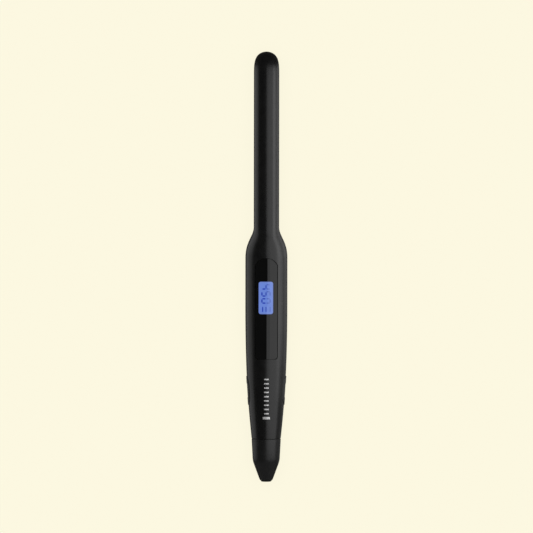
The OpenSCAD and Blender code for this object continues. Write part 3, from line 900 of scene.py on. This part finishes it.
def build_mark():
    """A plain row of short silver dashes and a longer one, in place of any name."""
    first, pitch = 44.3, 2.75
    marks = Inlays()
    for i in range(9):
        marks.add(rectangle(0.1, first + pitch * i, 1.45, 0.42), **PRINT)
    marks.add(rectangle(0.05, 41.45, 2.3, 0.8), **PRINT)
    piece = marks.piece("silver_dashes")
    finish_piece(piece, "upper_arm", "button_silver", material=silver_print())


def build_tail():
    """The tail cone and the gland in its mouth, both turned: outlines of (radius, station)."""
    end = ARM_S - 0.3  # the seam's near side
    edge = 0.2
    outer = np.concatenate([
        [[3.35, 0.5]],
        arc((1.8, 2.8), 2.8, -52, -20, 10),
        bezier((7.55, 10.3), (8.3, 12.3), (8.6, 13.3), (8.75, 14.9), 20),
        arc((SEAM_R - edge, end - edge), edge, 5, 90, 6),
    ])
    lip = [[8.2, end], [8.2, end + 0.9], [7.6, end + 0.9]]
    inner = [[7.6, 24.0], [7.3, 14.3], [5.4, 9.0], [4.4, 5.6], [4.4, 4.0], [3.35, 4.0]]
    cone = lathe("tail_cone_skin", np.concatenate([outer, lip, inner]))
    finish_piece(cone, "tail", "shell_black", ["tail_cone"], tail_black())
    mouth = arc((2.95, 0.35), 0.35, 180, 360, 12)
    body = [[3.3, 4.15], [4.3, 4.15], [4.3, 5.4], [3.5, 5.5], [3.5, 12], [2.6, 12]]
    gland = lathe("cord_gland_lining", np.concatenate([mouth, body]), 96)
    finish_piece(gland, "tail", "gland_rubber", ["cord_gland"])


def soften(node, width, body):
    """A copy of a CAD node with small rounded edges, which stands for it."""
    obj = bpy.data.objects.new(node + "_soft", frame["nodes"][node].data.copy())
    bpy.context.scene.collection.objects.link(obj)
    bm = bmesh.new()
    bm.from_mesh(obj.data)
    bmesh.ops.remove_doubles(bm, verts=bm.verts, dist=1e-6)
    bmesh.ops.dissolve_limit(bm, angle_limit=math.radians(1), verts=bm.verts, edges=bm.edges)
    bm.to_mesh(obj.data)
    bm.free()
    bevel = obj.modifiers.new("edges", "BEVEL")
    bevel.width = width * MM
    bevel.segments = 3
    bevel.limit_method = "ANGLE"
    bevel.angle_limit = math.radians(40)
    evaluated = obj.evaluated_get(bpy.context.evaluated_depsgraph_get())
    mesh = bpy.data.meshes.new_from_object(evaluated)
    obj.modifiers.clear()
    obj.data = mesh
    mesh.shade_smooth()
    mesh.set_sharp_from_angle(angle=math.radians(35))
    finish_piece(obj, body, SLOT_OF[node], [node])


def build_inner_pieces():
    """The pieces that show between the arms, from the CAD's own meshes."""
    for arm in ("lower", "upper"):
        soften(arm + "_plate", 0.25, arm + "_arm")
        soften(arm + "_inner_cover", 0.2, arm + "_arm")
    soften("hinge_tongue", 0.3, "lower_arm")


def dress_cad_nodes():
    """Materials for the CAD nodes, by their slots."""
    for name, obj in frame["nodes"].items():
        obj.data.materials.clear()
        obj.data.materials.append(BY_SLOT[SLOT_OF[name]])
        for polygon in obj.data.polygons:
            polygon.use_smooth = True
        obj.data.set_sharp_from_angle(angle=math.radians(30))


# ---- Camera, floor and light ---------------------------------------------------------------

def build_camera():
    """Straight above the iron, with the tip at the top of the picture."""
    distance, shift, roll = 1.4315, 0.00007, 0.064
    data = bpy.data.cameras.new("camera")
    data.lens = 150
    data.sensor_width = 36
    camera = bpy.data.objects.new("camera", data)
    camera.location = (shift, 0, AXIS * MM + distance)
    camera.rotation_euler = (0, 0, math.radians(roll))
    bpy.context.scene.collection.objects.link(camera)
    bpy.context.scene.camera = camera


CREAM = srgb(252, 247.5, 225)


def build_floor():
    """A plain cream ground that glows evenly and takes no reflection."""
    size = 4.0
    corners = [(-size, -size, 0), (size, -size, 0), (size, size, 0), (-size, size, 0)]
    mesh = bpy.data.meshes.new("floor")
    mesh.from_pydata(corners, [], [(0, 1, 2, 3)])
    floor = bpy.data.objects.new("floor", mesh)
    bpy.context.scene.collection.objects.link(floor)
    m = Material("pale_floor", (0.16, 0.155, 0.12), 0.9)
    m.bsdf.inputs["Emission Color"].default_value = CREAM
    m.bsdf.inputs["Emission Strength"].default_value = 0.94
    m.bsdf.inputs["Specular IOR Level"].default_value = 0.0
    mesh.materials.append(m.mat)
    floor.visible_glossy = False
    floor.visible_shadow = False


STRIP_DISTANCE = 0.1


def softbox(name, near, far, y_range, radiance):
    """A strip of light along the iron, between two angles, in degrees from up to the right.

    It shows in gloss and lights no floor.
    """
    ends = []
    for v in (math.radians(near), math.radians(far)):
        ends.append(Vector((STRIP_DISTANCE * math.sin(v), 0, STRIP_DISTANCE * math.cos(v))))
    centre = (ends[0] + ends[1]) / 2
    across = (ends[1] - ends[0]).normalized()
    forward = Vector((0, 1, 0))
    back = across.cross(forward)
    if back.dot(centre) < 0:
        across, back = -across, -back
    data = bpy.data.lights.new(name, "AREA")
    data.shape = "RECTANGLE"
    data.size = (ends[1] - ends[0]).length
    data.size_y = y_range[1] - y_range[0]
    data.energy = radiance * math.pi * data.size * data.size_y
    light = bpy.data.objects.new(name, data)
    middle = centre + Vector((0, (y_range[0] + y_range[1]) / 2, AXIS * MM))
    light.matrix_world = axes_matrix(across, forward, back, middle)
    light.visible_camera = False
    light.visible_diffuse = False
    bpy.context.scene.collection.objects.link(light)


def axes_matrix(x, y, z, at):
    """A matrix from three axes and a place."""
    m = Matrix((x, y, z)).transposed().to_4x4()
    m.translation = at
    return m


def build_world():
    """A dim room for reflections, and the floor's cream for the camera."""
    world = bpy.data.worlds.new("studio")
    world.use_nodes = True
    nodes, links = world.node_tree.nodes, world.node_tree.links
    dim = nodes["Background"]
    dim.inputs["Color"].default_value = (1.0, 0.99, 0.95, 1)
    dim.inputs["Strength"].default_value = 0.065
    cream = nodes.new("ShaderNodeBackground")
    cream.inputs["Color"].default_value = CREAM
    path = nodes.new("ShaderNodeLightPath")
    mix = nodes.new("ShaderNodeMixShader")
    links.new(path.outputs["Is Camera Ray"], mix.inputs["Fac"])
    links.new(dim.outputs["Background"], mix.inputs[1])
    links.new(cream.outputs["Background"], mix.inputs[2])
    links.new(mix.outputs["Shader"], nodes["World Output"].inputs["Surface"])
    bpy.context.scene.world = world


def build_lights():
    """A tunnel of soft strips round the iron, brightest at the right, and a light overhead."""
    tail, panel_end, shoulder, tip = -0.1455, 0.0065, 0.008, 0.1425
    window = -0.027
    full, barrel = (tail, tip), (shoulder, tip)
    # The edge of light on the panel lies further right above the window
    softbox("strip_top", 1.5, 18, (tail, window), 0.9)
    softbox("strip_top_panel", 6.0, 18, (window, panel_end), 0.9)
    softbox("strip_top_tip", 1.5, 18, (panel_end, tip), 0.9)
    softbox("strip_high", 18, 78, full, 1.12)
    softbox("strip_side_tip", 60, 79, barrel, 1.15)
    softbox("strip_flank_tip", 79, 95, barrel, 1.2)
    softbox("strip_low_tip", 100, 130, barrel, 0.64)
    # Beside the grip the right side fades towards the tail
    fade = (
        ("grip", (-0.045, shoulder), 1.0),
        ("fade", (-0.0695, -0.045), 0.74),
        ("hinge", (-0.1, -0.0695), 0.36),
    )
    for name, y_range, share in fade:
        softbox("strip_side_" + name, 59, 79, y_range, 0.82 * share)
        softbox("strip_flank_" + name, 79, 95, y_range, 1.2 * share)
        softbox("strip_low_" + name, 98, 130, y_range, 0.4 * share)
    softbox("strip_skirt", 80, 165, full, 0.14)
    softbox("strip_left", -132, -80, full, 0.5)
    softbox("strip_left_tip", -132, -72, (0.02, tip), 0.15)
    # What the tail's cone reflects lies past the end of the iron
    beyond_tail = (-0.5, -0.165)
    softbox("strip_tail_left", -110, -40, beyond_tail, 0.13)
    softbox("strip_tail_top", -40, 40, beyond_tail, 0.13)
    softbox("strip_tail_right", 40, 110, beyond_tail, 0.15)
    data = bpy.data.lights.new("overhead", "AREA")
    data.shape = "DISK"
    data.size = 4.0
    data.energy = 40
    light = bpy.data.objects.new("overhead", data)
    light.location = (0, 0, 3)
    light.visible_camera = False
    light.visible_glossy = False
    bpy.context.scene.collection.objects.link(light)


build_camera()
build_floor()
build_world()
build_lights()
dress_cad_nodes()
build_shells()
build_panel()
build_caps()
build_display()
build_mark()
build_tail()
build_inner_pieces()
bpy.context.scene.view_settings.view_transform = "Standard"
